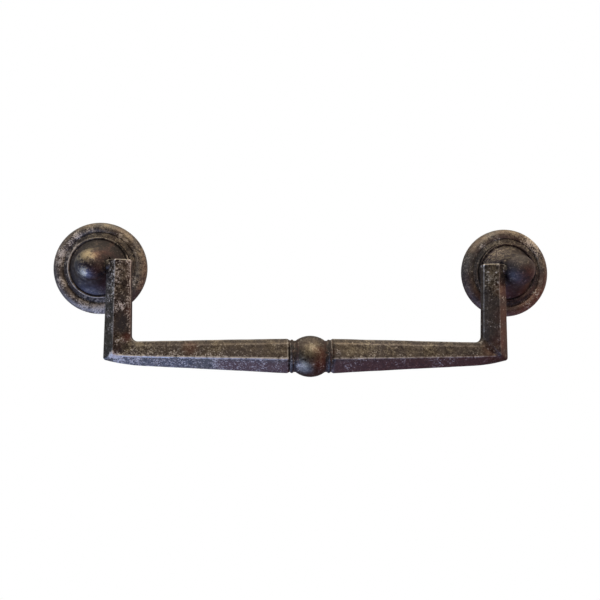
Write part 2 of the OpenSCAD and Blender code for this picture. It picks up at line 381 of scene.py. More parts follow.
# %% Posts
STEM_END = post_high.y
STEM_BEHIND = 6.6       # what stands out behind the drawer front
STEM_CHAMFER = 0.3
THREAD_R = 2.0
THREAD_PITCH = 0.7
THREAD_DEPTH = 0.4
THREAD_INSIDE = 3       # how far the thread goes on into the drawer front
THREAD_START = STEM_END - STEM_BEHIND - THREAD_INSIDE
SHANK_R = 2.25
SPIGOT_R = 3.4
SPIGOT_SHORT = 0.4
FOOT_R = (post_high.z - post_low.z) / 2
FOOT_H = 3.8
FOOT_LIP = 0.45
FOOT_DISH = 0.3
DOME_R = -post_low.y + pivot_y
DOME_STEPS = 24
BELL_POWER = 1.8
BELL_STEPS = 36
POST_EDGE_R = 0.12
POCKET_R = 4.0
POCKET_FROM_AXIS = 4.25
POCKET_X = post_x - POCKET_FROM_AXIS
POCKET_CUT = 9         # the cutter's length, from the pocket's floor out past the flank
BORE_R = 1.56
BORE_DEPTH = 5.3
BORE_CUT = 1            # how far the drill reaches back into the pocket


def bell_point(t):
    """A point of the bell's curve: t is 0 at the foot and 1 under the dome."""
    start_r, start_h = FOOT_R - FOOT_LIP - FOOT_DISH, FOOT_H - FOOT_DISH
    return DOME_R + (start_r - DOME_R) * (1 - t) ** BELL_POWER, start_h + (-pivot_y - start_h) * t


def post(name, sign):
    core_r = THREAD_R - THREAD_DEPTH
    stem = [(0, -STEM_END), (core_r - STEM_CHAMFER, -STEM_END), (core_r, -STEM_END + STEM_CHAMFER),
            (core_r, -THREAD_START), (SHANK_R, -THREAD_START), (SHANK_R, SPIGOT_SHORT),
            (SPIGOT_R, SPIGOT_SHORT), (SPIGOT_R, SEAT_FLOOR_H)]
    foot = [(FOOT_R, SEAT_FLOOR_H), (FOOT_R, FOOT_H), (FOOT_R - FOOT_LIP, FOOT_H)]
    bell = [bell_point(i / BELL_STEPS) for i in range(BELL_STEPS + 1)]
    dome = [(DOME_R * math.cos(a), -pivot_y + DOME_R * math.sin(a))
            for a in (math.radians(90 * i / DOME_STEPS) for i in range(1, DOME_STEPS + 1))]
    bm = spun(stem + foot + bell + dome, (sign * post_x, 0, 0), (0, -1, 0))
    eased_edges(bm, POST_EDGE_R)
    body = as_object(bm, name)
    inwards = (-sign, 0, 0)
    pivot = (sign * POCKET_X, pivot_y, 0)
    pocket_cutter = [(0, 0), (POCKET_R, 0), (POCKET_R, POCKET_CUT), (0, POCKET_CUT)]
    pocket = as_object(spun(pocket_cutter, pivot, inwards, step=20), "pocket")
    drill = [(0, -BORE_DEPTH), (BORE_R, -BORE_DEPTH), (BORE_R, BORE_CUT), (0, BORE_CUT)]
    bore = as_object(spun(drill, pivot, inwards, step=20), "bore")
    return combined(body, [pocket, bore], "DIFFERENCE")


posts = {side: post(f"domed_post_{side}", sign) for side, sign in SIDES}
print("post:", len(posts["left"].data.polygons), "faces")

# %% [markdown]
# A die cuts the thread on the end of the stem. A bump map could hint at it, but its outline would stay
# straight, and the thread stands free behind the drawer front. It is one small flank section swept along
# a helix by a spin that also moves along its axis.

# %% Screw threads
STEPS_PER_TURN = 36
THREAD_SHORT = 0.5      # the thread stops this much before the end of the stem
THREAD_SINK = 0.05      # how deep its root is sunk in the stem, so that no gap shows
ROOT_SHARE = 0.92       # its width at the root, as a share of the pitch
CREST_SHARE = 0.12      # its width at the crest, as a share of the pitch


def thread(name, sign):
    """One helix of the thread, from its run-out in the shank to the end of the stem."""
    turns = (STEM_END - THREAD_SHORT - THREAD_START) / THREAD_PITCH
    steps = round(turns * STEPS_PER_TURN)
    core_r = THREAD_R - THREAD_DEPTH - THREAD_SINK
    root, crest = THREAD_PITCH / 2 * ROOT_SHARE, THREAD_PITCH / 2 * CREST_SHARE
    x = sign * post_x
    points = [(core_r, root), (THREAD_R, crest), (THREAD_R, -crest), (core_r, -root)]
    bm = bmesh.new()
    verts = [bm.verts.new(Vector((x, THREAD_START + along, r)) * MM) for r, along in points]
    start = bm.faces.new(verts)
    bmesh.ops.spin(bm, geom=[start], cent=Vector((x, 0, 0)) * MM, axis=(0, 1, 0),
                   dvec=Vector((0, THREAD_PITCH * turns / steps, 0)) * MM,
                   angle=2 * math.pi * turns, steps=steps, use_duplicate=False)
    bmesh.ops.recalc_face_normals(bm, faces=bm.faces)
    return as_object(bm, name)


threads = {side: thread(f"stem_thread_{side}", sign) for side, sign in SIDES}
print("thread:", len(threads["left"].data.polygons), "faces")

# %% [markdown]
# The bail is the piece that takes the most care. Its section has eight sides, and it keeps them all
# round a square corner. A curve with a bevel object could carry such a section, but it would give every
# line the same corner, and the real ones differ. So the section is drawn once, in shares of the bar's
# width and depth, and then laid down ring after ring. Its own corners are rounded by a vertex bevel, as
# a file and long use round them.

# %% The bail's section
ARM_W = 7.0
ARM_GAP = 0.25          # between the arm and the pocket's floor
ARM_OUT_X = POCKET_X - ARM_GAP
ARM_MID_X = ARM_OUT_X - ARM_W / 2
CORNER_W = 7.8
CORNER_OUT = 0.6        # how far the foot of the arm stands out past its top
CORNER_OUT_X = ARM_OUT_X + CORNER_OUT
CORNER_IN_X = CORNER_OUT_X - CORNER_W
CORNER_MID_X = CORNER_OUT_X - CORNER_W / 2
BAR_MID_W = 10.6
BAR_END_W = 6.6
BAR_RISE = 0.85
HEEL_RISE = 1.3
HEEL_RUN = 2.3
HEEL_POWER = 2.2
HEEL_SPREAD = 2.4
SECTION_DEPTH = 0.79
RIDGE_SHARE = 0.565
RIDGE_END_SHARE = 0.6
INNER_SHARE = 0.125
INNER_END_SHARE = 0.165
# The radius with which a line turns the corner, by its share of the width, inner side first.
CORNER_R = [(0, 1.7), (INNER_END_SHARE, 1.7), (RIDGE_END_SHARE, 0.5), (1, 0.9)]
# The section's front corners, as shares of width and half depth, from the outer edge inwards.
FRONT_LINES = [(1, 0.19), (RIDGE_END_SHARE, 1), (INNER_END_SHARE, 0.67), (0, 0.45)]
RIDGE, INNER_LINE = FRONT_LINES[1:3]
INNER_FACET = (INNER_END_SHARE / 2, 0.56)
BALL_LEN = 13.4
NECK_LEN = 1.6
NECK_R = 4.65
ball_turn = math.asin(NECK_R / ball_r)
bar_start_x = BALL_LEN / 2 * math.cos(ball_turn) + NECK_LEN
heel_start_x = CORNER_IN_X - CORNER_R[0][1] - HEEL_RUN


def section(width, soften, step):
    """The section's outline as pairs of shares of width and depth, its corners softened."""
    half_depth = SECTION_DEPTH * width / 2
    bm = bmesh.new()
    corners = FRONT_LINES + [(share, -depth) for share, depth in reversed(FRONT_LINES)]
    bm.faces.new([bm.verts.new((share * width, depth * half_depth, 0)) for share, depth in corners])
    bmesh.ops.bevel(bm, geom=bm.verts[:], offset=soften, segments=3, affect="VERTICES",
                    profile=0.5, material=-1)
    for edge in bm.edges[:]:
        cuts = math.floor(edge.calc_length() / step)
        if cuts:
            bmesh.ops.subdivide_edges(bm, edges=[edge], cuts=cuts)
    outline = bm.faces[:][0]
    points = [(vert.co.x / width, vert.co.y / half_depth) for vert in outline.verts]
    bm.free()
    return points


ring_points = section(width=8.5, soften=0.18, step=0.42)
print("section:", len(ring_points), "points")

# %% [markdown]
# Every corner of the section draws a line along the bail. On the real casting these lines aren't quite
# parallel: the bar tapers, rises a little towards its ends, and sweeps up into a heel before the corner.
# A few short functions say where a line runs, so that the rings, the dabs and the worn ridges all read
# it from the same place.

# %% The bail's lines
def along_chain(stops, value):
    """Reads a value off a chain of [where, value] stops."""
    for (low, start), (high, end) in zip(stops, stops[1:]):
        if value <= high:
            return start + (end - start) * (value - low) / (high - low)
    return stops[-1][1]


def bar_width(x):
    """The bar's width seen from the front, which tapers from the ball to the corner."""
    return BAR_MID_W + (BAR_END_W - BAR_MID_W) * x / CORNER_MID_X


def line_share(share, x):
    """Beside the ball the ridges lie a little nearer the bar's upper edge than at the corners."""
    toward_corner = min(1, x / CORNER_IN_X)
    inner = INNER_SHARE + (INNER_END_SHARE - INNER_SHARE) * toward_corner
    ridge = RIDGE_SHARE + (RIDGE_END_SHARE - RIDGE_SHARE) * toward_corner
    return along_chain([(0, 0), (INNER_END_SHARE, inner), (RIDGE_END_SHARE, ridge), (1, 1)], share)


def line_x(share):
    """Where a line stands at the foot of the arm."""
    return CORNER_IN_X + CORNER_W * share


def line_y(depth, width):
    """How far in front a line lies, from its share of the half depth."""
    return pivot_y - depth * SECTION_DEPTH * width / 2


def line_z(share, x, size=1.0):
    """The height of a line: its share of the bar's width below the upper edge, and the heel's sweep."""
    share = line_share(share, x)
    heel = HEEL_RISE * (max(0, x - heel_start_x) / (CORNER_OUT_X - heel_start_x)) ** HEEL_POWER
    middle = ball_z + BAR_RISE * x / CORNER_MID_X
    return middle + bar_width(x) * size * (0.5 - share) + heel * max(0, share) ** HEEL_SPREAD


def arm_ring(z, size):
    return [(ARM_MID_X + ARM_W * size * (s - 0.5), line_y(d, ARM_W * size), z) for s, d in ring_points]


def corner_ring(turn):
    """A ring of the corner: the bar's at a turn of 0, and the arm's at a quarter turn."""
    points = []
    for s, d in ring_points:
        r = along_chain(CORNER_R, s)
        x = line_x(s) - r
        width = bar_width(x) + (CORNER_W - bar_width(x)) * turn / (math.pi / 2)
        points.append((x + r * math.sin(turn), line_y(d, width), line_z(s, x) + r - r * math.cos(turn)))
    return points


def crease(rings, line, sides=(-1, 1)):
    """The points of one line of the section, along the left half, the right half or both."""
    share, depth = line
    misses = [abs(s - share) + abs(d - depth) for s, d in ring_points]
    k = misses.index(min(misses))
    return [(side * ring[k][0], ring[k][1], ring[k][2]) for ring in rings for side in sides]


def between(first, second, t):
    return [Vector(a).lerp(Vector(b), t) for a, b in zip(first, second)]


def bar_ring(x, size=1.0):
    return [(x, line_y(d, bar_width(x) * size), line_z(s, x, size)) for s, d in ring_points]


upper_z, lower_z = line_z(0, bar_start_x), line_z(1, bar_start_x)
print(f"beside the ball the bar reaches from z = {lower_z:.1f} to {upper_z:.1f}")

# %% [markdown]
# The rings are laid from the arm's end down to the corner, round it, over the heel and along the bar to
# the neck. The first and the last few shrink towards their ends, as those edges are bevelled. A bridge
# between loose rings would leave the pairing of points to the tool. Each ring is extruded from the one
# before it instead and moved to its place, so point follows point and the skin closes by itself.

# %% Lay the rings
ARM_BEVEL = 0.25
BAR_BEVEL = 0.9
BAR_BEVEL_IN = 0.5
BEVEL_STOPS = [0, 0.15, 0.5, 0.85, 1]
ARM_STEPS = 44
CORNER_STEPS = 9
HEEL_STEPS = 7
BAR_STEPS = 84
CAP_INSET = 0.5


def heel_ring(t):
    """A ring between the corner, at t = 0, and the start of the straight bar, at t = 1."""
    points = []
    for s, d in ring_points:
        start = line_x(s) - along_chain(CORNER_R, s)
        x = start + (heel_start_x - start) * t
        points.append((x, line_y(d, bar_width(x)), line_z(s, x)))
    return points


def end_rings(ring, length, inwards, width):
    """Rings over a bevelled end: a ring maker is asked for sizes that grow away from the face."""
    return [ring(length * stop, 1 - 2 * inwards * (1 - stop) / width) for stop in BEVEL_STOPS]


arm_low_ring = corner_ring(math.pi / 2)
arm_start = end_rings(lambda shift, size: arm_ring(arm_top - shift, size), ARM_BEVEL, ARM_BEVEL, ARM_W)
arm_rings = [between(arm_start[-1], arm_low_ring, i / ARM_STEPS) for i in range(1, ARM_STEPS)]
corner_rings = [corner_ring(math.pi / 2 * (1 - i / CORNER_STEPS)) for i in range(CORNER_STEPS + 1)]
heel_rings = [heel_ring(i / HEEL_STEPS) for i in range(1, HEEL_STEPS + 1)]
bar_end_x = bar_start_x + BAR_BEVEL
bar_run = bar_end_x - heel_start_x
bar_rings = [bar_ring(heel_start_x + bar_run * i / BAR_STEPS) for i in range(1, BAR_STEPS + 1)]
bar_stop = end_rings(lambda shift, size: bar_ring(bar_start_x + shift, size), BAR_BEVEL, BAR_BEVEL_IN,
                     bar_width(bar_start_x))[-2::-1]
all_rings = arm_start + arm_rings + corner_rings + heel_rings + bar_rings + bar_stop


def bail_arm(name, sign):
    """Arm, corner and bar of one side, skinned ring by ring."""
    bm = bmesh.new()
    verts = [bm.verts.new(Vector(point) * MM) for point in all_rings[0]]
    edges = [bm.edges.new(pair) for pair in zip(verts, verts[1:] + verts[:1])]
    first_edges = edges
    for ring in all_rings[1:]:
        grown = bmesh.ops.extrude_edge_only(bm, edges=edges)["geom"]
        fresh = {part for part in grown if isinstance(part, bmesh.types.BMVert)}
        verts = [next(e.other_vert(v) for e in v.link_edges if e.other_vert(v) in fresh) for v in verts]
        edges = [part for part in grown if isinstance(part, bmesh.types.BMEdge)
                 and part.verts[0] in fresh and part.verts[1] in fresh]
        for vert, point in zip(verts, ring):
            vert.co = Vector(point) * MM
    caps = [bmesh.ops.contextual_create(bm, geom=loop)["faces"][0] for loop in (first_edges, edges)]
    bmesh.ops.inset_region(bm, faces=caps, thickness=CAP_INSET * MM)
    if sign < 0:
        bmesh.ops.scale(bm, vec=(-1, 1, 1), verts=bm.verts)
    close_up(bm)
    return as_object(bm, name)


bars = [bail_arm("bail_bar_" + side, sign) for side, sign in SIDES]
print("one side of the bail:", len(all_rings), "rings,", len(bars[0].data.polygons), "faces")

# %% [markdown]
# The middle of the bail is round: a ball between two necks, each a groove with a low collar in it. A
# sphere could stand in for the ball, but the real one is a little longer than it is thick, so half its
# section is drawn with the necks in one chain and spun. So are the two pins.

# %% The ball, the necks and the pins
COLLAR_H = 0.3
COLLAR_W = 0.9
NECK_SEAT = 0.15
PIN_R = 1.5
PIN_ROOT = 1            # how far the pin's body starts inside the arm
PIN_CHAMFER = 0.3


def middle_profile():
    """Half the section of the ball and both necks, as [radius, distance from the middle] points."""
    collar_x = bar_start_x - COLLAR_W / 2
    collar = [(NECK_R + COLLAR_H * math.sin(a), collar_x - COLLAR_W / 2 * math.cos(a))
              for a in (math.radians(15 * i) for i in range(13))]
    ball = [(ball_r * math.sin(a), BALL_LEN / 2 * math.cos(a))
            for a in (ball_turn + (math.pi / 2 - ball_turn) * i / 20 for i in range(21))]
    neck_end_x = bar_start_x + NECK_SEAT
    half = ball[::-1] + collar + [(NECK_R, neck_end_x), (0, neck_end_x)]
    return [(r, -along) for r, along in reversed(half)] + half[1:]


middle = as_object(spun(middle_profile(), (0, pivot_y, ball_z), (1, 0, 0)), "bail_middle")
pin_len = pin_tip_x - ARM_OUT_X
pin_profile = [(0, -PIN_ROOT), (PIN_R, -PIN_ROOT), (PIN_R, pin_len - PIN_CHAMFER),
               (PIN_R - PIN_CHAMFER, pin_len), (0, pin_len)]
pins = [as_object(spun(pin_profile, (sign * ARM_OUT_X, pivot_y, 0), (sign, 0, 0), steps=48), "bail_pin")
        for sign in (-1, 1)]
print(f"necks from x = {bar_start_x - COLLAR_W:.1f} to {bar_start_x:.1f}, pins {pin_len:.1f} long")

# %% [markdown]
# A casting that was filed by hand is never quite flat. A slow wave in the surface of the two bars, a few
# hundredths of a millimetre deep, bends the reflections as the real facets do. A bump map would bend
# them too, but the worn ridges would stay ruler-straight. Then a boolean union makes one body of it all,
# as it is one casting.

# %% One filed casting
WAVE_DEPTH = 0.05
WAVE_LEN = 7
FLAT_END = 0.1          # the arm's outer face stays flat, for its gap to the post is narrow


def filed(piece):
    """Moves the surface in and out in a slow wave and a finer one, all but the arms' outer faces."""
    shifts = []
    for vert in piece.data.vertices:
        wave = noise.noise(vert.co / (WAVE_LEN * MM)) + 0.5 * noise.noise(vert.co / (0.4 * WAVE_LEN * MM))
        inside = abs(vert.co.x / MM) < ARM_OUT_X - FLAT_END
        shifts.append(vert.normal * (wave * WAVE_DEPTH * MM) if inside else Vector())
    for vert, shift in zip(piece.data.vertices, shifts):
        vert.co += shift


for bar in bars:
    filed(bar)
bail = combined(bars[0], [bars[1], middle] + pins, "UNION")
bail.name = "faceted_bail"
print("bail:", len(bail.data.polygons), "faces")

# %% [markdown]
# The nuts and washers are bought parts of plain brass. Their solids are exact, so each is copied,
# merged into a clean mesh, and only its sharp edges are eased.

# %% Nuts and washers
NUT_EDGE_R = 0.08
WASHER_EDGE_R = 0.06


def eased_copy(node, name, radius):
    """A copy of a solid as one clean mesh with eased edges."""
    bm = bmesh.new()
    bm.from_mesh(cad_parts[node].data)
    close_up(bm)
    bmesh.ops.dissolve_limit(bm, angle_limit=math.radians(1), verts=bm.verts, edges=bm.edges)
    eased_edges(bm, radius)
    return as_object(bm, name)


fasteners = {}
for side in posts:
    for kind, radius in (("nut_", NUT_EDGE_R), ("washer_", WASHER_EDGE_R)):
        fasteners[kind + side] = eased_copy(kind + side, "brass_" + kind + side, radius)
print("fasteners:", {name: len(piece.data.polygons) for name, piece in fasteners.items()})

# %% [markdown]
# Old brass is bright where hands and cloth reach it, along the edges, and dark where they don't, in the
# grooves. A shader can't know where the edges are, so the mesh tells it. At each vertex the bend of the
# edges around it is added up. Bends outwards become edge_wear, bends inwards become grime, and both are
# spread a little way over the faces beside them.

# %% Worn edges and dirty grooves
def bend_at(vert):
    """How sharply the surface bends at a vertex, in 1/mm: above zero on an edge, below in a groove."""
    area = sum(face.calc_area() for face in vert.link_faces) / 3
    bend = sum(edge.calc_face_angle_signed(0) * edge.calc_length() for edge in vert.link_edges)
    return bend / (4 * area) * MM if area else 0


def paint_wear(piece, worn=1.0, dirty=0.6, reach=0.4, soft=0.4, sharp=2.0):
    """Writes edge_wear and grime. A bend counts from soft, and fully from sharp, both in 1/mm."""
    bm = bmesh.new()
    bm.from_mesh(piece.data)
    bends = [bend_at(vert) for vert in bm.verts]
    places = [vert.co.copy() for vert in bm.verts]
    bm.free()
    for name, sign, strength in (("edge_wear", 1, worn), ("grime_and_shade", -1, dirty)):
        levels = [min(1, max(0, (sign * bend - soft) / (sharp - soft))) for bend in bends]
        sources = [i for i, level in enumerate(levels) if level > 0]
        tree = kdtree.KDTree(len(sources))
        for i in sources:
            tree.insert(places[i], i)
        tree.balance()
        values = []
        for place, level in zip(places, levels):
            near = tree.find_range(place, reach * MM)
            spread = [levels[i] * (1 - distance / (reach * MM)) for _, i, distance in near]
            values.append(strength * max([level] + spread))
        layer = piece.data.attributes.new(name, "FLOAT", "POINT")
        layer.data.foreach_set("value", values)


paint_wear(bail, worn=0.9)
paint_wear(rosettes["left"], worn=0.3)
paint_wear(rosettes["right"], worn=0.2, dirty=0.2)
paint_wear(posts["left"])
paint_wear(posts["right"], worn=0.25, dirty=0.1)
for piece in list(fasteners.values()) + list(threads.values()):
    paint_wear(piece)
print("layers so far:", [layer.name for layer in bail.data.attributes if layer.data_type == "FLOAT"])

# %% [markdown]
# The handle isn't worn evenly. Hands have rubbed the ball, the left corner and the shoulders of the
# arms, polish has dried along the left bar and on the outer rims, and the right side is painted redder
# and darker, partly as tarnish and partly as painted shade and the painted reflection of dim reddish
# light from below. Some dabs are painted light outright: pale ones are painted highlights of the blue
# daylight on the left rosette's lower rim and the bail's left corner, a lighter patch brightens the left
# dome's highlights, and dark ones are painted shade beside the right pocket and over the highlights of
# the right dome and the right corner. An image wrapped round the pieces could hold this, but it would
# have to be painted and kept with the script. A short list of soft dabs for each layer, placed one by
# one, is enough, because noise in the finish breaks their outlines up.

# %% Dabs on the bail
FRONT_Y = 0.25          # a vertex is seen from the front when its normal's y is below this
DAB_REACH = 1.5         # a dab is gone at this many times its radius
DAB_LAYERS = ("bare_brass_and_highlight", "pale_bloom_and_highlight", "red_tarnish_and_reflection", "grime_and_shade")


def dab(piece, dab_lists):
    """Writes the four layers of soft round patches, each on what faces the front."""
    verts = piece.data.vertices
    for name, dabs in zip(DAB_LAYERS, dab_lists):
        layer = piece.data.attributes.get(name) or piece.data.attributes.new(name, "FLOAT", "POINT")
        values = [0.0] * len(verts)
        layer.data.foreach_get("value", values)
        for i, vert in enumerate(verts):
            if vert.normal.y >= FRONT_Y:
                continue
            for x, z, radius, strength in dabs:
                away = math.hypot(vert.co.x / MM - x, vert.co.z / MM - z) / radius
                if away < DAB_REACH:
                    values[i] = max(values[i], strength * min(1, DAB_REACH - away))
        layer.data.foreach_set("value", values)


# Each dab is [x, z, radius, strength]. The first three are in millimetres, seen from the front.
BAIL_BARE = [
    [-54.8, -21.5, 1.5, 1.2], [-53, -23.7, 1.6, 1.2], [-49.4, -23.6, 2.2, 0.8], [-45.8, -23.8, 1.8, 0.6],
    [0, -26.4, 3, 1.3], [-55.6, -2, 3, 1], [-56, -7, 2.4, 0.8],
    [-41, -23.4, 1.6, 0.3], [-34.5, -23.6, 2.4, 0.4], [-27.5, -23.6, 2.2, 0.5], [-19, -23.7, 2.4, 0.3],
    [-10, -23.7, 2.4, 0.5], [11.4, -24.1, 2.2, 0.6], [17, -24.2, 3, 0.8], [24, -24, 2.6, 0.5],
    [29, -23.8, 2.4, 0.5], [35.6, -24, 2.4, 0.7], [41.4, -23.5, 1.6, 0.6], [47.3, -24.2, 2, 0.3],
    [55.3, -1, 2.4, 1.3], [54.7, -3.9, 2, 1.3], [56.2, -6.6, 2, 1.1], [55.4, -23.6, 1.8, 0.6],
    [54.6, -26, 1.6, 0.5], [-0.7, -23.7, 1.3, 0.9], [1, -24.6, 1.2, 0.5], [-53.6, -13, 1, 0.4]]
# The two dabs at the bail's left corner, near (-56, -26.6), are a painted highlight of the blue daylight
# that the corner's tip reflects.
BAIL_BLOOM_AND_HIGHLIGHT = [
    [-56.2, -2.2, 2, 0.5], [-56.2, -4.4, 1.5, 0.6], [-57.2, -6.6, 1.2, 0.5], [-56.9, -9, 1.2, 0.4],
    [-52, -4, 1.2, 0.35], [-52, -8, 1.2, 0.3], [-52, -18, 1.2, 0.3], [55.2, -3.4, 2.2, 0.3],
    [-58.4, -3, 1.4, 0.4], [-58.4, -6, 1.4, 0.4], [-58.4, -9.5, 1.4, 0.35], [-58.4, -14, 1.4, 0.3],
    [-55, -11.6, 1.4, 0.8], [-55.8, -13.4, 1, 0.4], [-55.9, 1.2, 1.6, 0.5], [-53, 1.2, 1, 0.7],
    [-57.6, -18, 1.4, 0.3], [-57, -26.3, 1.2, 1.3], [-55.4, -26.9, 1.6, 1.1], [-51, -27.2, 3, 0.62],
    [-45, -27.4, 3.4, 0.5], [-39, -27.8, 3.4, 0.55], [-33, -28, 3.4, 0.42], [-27, -28.3, 3.4, 0.55],
    [-21, -28.4, 3.2, 0.42], [-15, -28.9, 3.2, 0.42], [-9.2, -28.8, 2.6, 0.4], [-5.4, -27.6, 0.8, 0.6],
    [-4, -28.5, 1, 0.9], [7.9, -25.2, 0.9, 0.4], [18, -25.6, 1.4, 0.4], [14, -27.4, 2, 0.35],
    [11, -29.2, 1.6, 0.35], [27, -27.6, 2.6, 0.3], [37.8, -27.8, 2, 0.4], [42.4, -27, 1.6, 0.4],
    [48.2, -26, 1.4, 0.4], [51.8, 1.3, 0.9, 0.9], [57.9, -8.8, 0.9, 0.6], [56.7, -17, 0.9, 0.5],
    [-54.8, -21.8, 1.4, 0.42]]
BAIL_RED_AND_REFLECTION = [
    [2.2, -25.6, 1.8, 0.4], [2.8, -28, 1.8, 0.5], [54.6, -24.4, 2.6, 0.35], [56.6, -22, 2.2, 0.5],
    [57.4, -19, 1.8, 0.4], [56.8, -25.6, 1.4, 0.6],
    [-53.4, -21, 1.2, 0.7], [57.8, -14, 2.4, 0.4], [57.9, -6, 2.4, 0.4], [-52, -14, 2, 0.3],
    [5.6, -25, 1.2, 0.5], [-35, -23.8, 2, 0.3]]
# Some of these are painted shade: those at the top of the right arm, near x = 57.7, darken it where the
# pocket shades it, and the one at (56.5, -25.5) lays dark over the right corner's highlight.
BAIL_GRIME_AND_SHADE = [
    [-54.6, -17.4, 2, 1.3], [-54.2, -15.4, 1.6, 1.1], [-54.4, -9, 1.3, 0.7], [-53.8, -22, 1.2, 0.4],
    [55.2, -14, 2.6, 0.5], [54.6, -18.4, 2.6, 0.55], [55, -22, 2, 0.35], [5.6, -23, 1, 0.5],
    [-5.4, -24.4, 1, 0.6], [-55.6, -24.6, 0.9, 0.3], [56.5, -25.5, 1.3, 1], [54.6, -10, 2.4, 0.45],
    [57.6, -3, 1.2, 0.7], [57.8, 0.2, 1.5, 1.6], [-57.6, 0, 1.2, 0.4], [-54.8, -13.6, 0.8, 0.5]]
# The bar's lower facet is painted red and dark all along on the right, and more faintly near the ball on
# the left. On the right the red is a painted reflection of dim reddish light from below and the dark is
# painted shade.
LOWER_FACET_SHARE = 0.85
for x in list(range(8, 54, 2)) + list(range(-26, -7, 2)):
    z = line_z(LOWER_FACET_SHARE, abs(x))
    BAIL_RED_AND_REFLECTION.append([x, z, 1.7, 1 if x > 0 else 0.5])
    BAIL_GRIME_AND_SHADE.append([x, z, 1.8, 0.75 if x > 0 else 0.3])
dab(bail, (BAIL_BARE, BAIL_BLOOM_AND_HIGHLIGHT, BAIL_RED_AND_REFLECTION, BAIL_GRIME_AND_SHADE))
print("dabs on the bail:", len(BAIL_BARE + BAIL_BLOOM_AND_HIGHLIGHT + BAIL_RED_AND_REFLECTION + BAIL_GRIME_AND_SHADE))

# %% [markdown]
# The rosettes and posts get their dabs in the same way. Left and right share a list, because a dab on
# one side lies far outside the pieces of the other and does nothing there.

# %% Dabs on the rosettes and posts
ROSETTE_BARE = [
    [-52.2, 4, 2.6, 1], [-51.4, -0.6, 2.4, 1], [-52.6, -4.6, 2.2, 1], [-56.8, 8.6, 2.4, 1],
    [-66.8, 11.6, 2, 0.8], [-62, 12, 2.4, 0.8], [72.3, 9.6, 3.4, 1], [60, 8.4, 3, 0.9],
    [66.4, 11.8, 2.4, 0.8], [57.6, 9.4, 2.2, 0.6], [75, 3, 2.6, 0.7], [74, -6, 2.6, 0.6]]
# The two big dabs on the left rosette's lower rim, near (-66, -11), are a painted highlight: pale bloom
# there, under the blue lamp, stands for the blue daylight that the rim reflects.
ROSETTE_BLOOM_AND_HIGHLIGHT = [
    [-70.9, 9.8, 1.3, 1], [-72.7, 7.5, 1, 0.9], [-74.7, 4.2, 1.8, 1], [-75.3, 1.4, 1.6, 0.9],
    [-71.6, 6.6, 1.2, 0.8], [-74.5, -5.4, 1.2, 0.9], [-75.4, -3.8, 1.2, 0.7], [-72, -8.8, 1.3, 0.5],
    [-67, 11.6, 1.2, 0.6], [-57.9, 9.7, 1.2, 0.9], [-56.4, 8.4, 1, 0.7], [-68.2, -10.6, 2.4, 1],
    [-63.8, -11.4, 2.6, 1.1], [-54, 5, 1.4, 0.4], [-53.4, -4, 1.6, 0.4], [72.2, 9.9, 2.6, 1],
    [73.6, 7.4, 2, 0.7], [56.2, 8.5, 0.9, 0.6], [61.4, 8.6, 2.8, 0.45], [73.4, -6.8, 1.4, 0.6],
    [70.4, -10.3, 1.4, 0.6]]
# The dabs at the right rosette's lower right are a painted reflection of dim reddish light from below,
# given the colour of tarnish.
ROSETTE_RED_AND_REFLECTION = [
    [73.6, -7, 3.4, 0.7], [70, -10.6, 3, 0.6], [76, -2, 2.6, 0.4], [66, -12.4, 2.4, 0.4],
    [53.6, -9, 3, 0.8], [51, -4, 3, 0.4]]
ROSETTE_GRIME = [
    [51, -2, 4, 0.8], [53, -8.6, 2.6, 0.8], [51.6, 4, 2.6, 0.5], [-76, -0.6, 3, 0.5],
    [-74, -7.4, 2, 0.4], [-73.4, 3.6, 2, 0.3]]
# On the left dome these are partly rubbed brass and partly a painted highlight: the top ones lighten its
# warm highlight, and the one at (-65.4, -2.2) brightens its blue reflection.
POST_BARE_AND_HIGHLIGHT = [
    [-65, 3, 2.3, 1.4], [-67, 2, 1.8, 1], [-62.6, 2.8, 1.5, 0.9], [-65.4, -2.2, 1.6, 1],
    [60.4, 5.6, 2.4, 0.55], [57.6, 4.4, 1.6, 0.5], [64, 7.6, 2, 0.4]]
POST_BLOOM = [[-58, 5.4, 1, 0.3], [60.4, 6, 1.4, 0.3]]
POST_RED = [
    [62, -7, 2.6, 0.5], [68, -5, 2.6, 0.5], [64.6, -2, 2.6, 0.7], [-60.6, 3.4, 2, 0.6],
    [-61, 7, 2.4, 0.5]]
# Most of these are painted shade: on the left post they darken the bell's upper flank, and on the right
# post they lay dark over the dome's highlight.
POST_GRIME_AND_SHADE = [
    [-57.6, 5.6, 3, 1.4], [-62.4, 7, 2.6, 1.4], [-66.8, 6.8, 2.4, 1.4], [-59.4, 2.4, 2, 1],
    [62.6, -1.6, 2.6, 0.9], [61.4, 1, 1.6, 0.6], [65, 1.4, 3.4, 0.6], [65, -3.6, 3, 0.9],
    [58.4, -6.4, 2, 0.4]]

rosette_dabs = (ROSETTE_BARE, ROSETTE_BLOOM_AND_HIGHLIGHT, ROSETTE_RED_AND_REFLECTION, ROSETTE_GRIME)
post_dabs = (POST_BARE_AND_HIGHLIGHT, POST_BLOOM, POST_RED, POST_GRIME_AND_SHADE)
for side in posts:
    dab(rosettes[side], rosette_dabs)
    dab(posts[side], post_dabs)
print("dabs on rosettes and posts:", sum(len(dabs) for dabs in rosette_dabs + post_dabs))

# %% [markdown]
# Some wear follows a line: the front ridge is rubbed bright, and grime and tarnish lie in the necks
# beside
# the ball. Two lines are painted light: pale bloom along the inner facet of the left arm is a painted
# highlight, and the dark on the right bar's end is painted shade. These lines are read from the rings
# that made the bail, so they stay on their edges when a size changes.

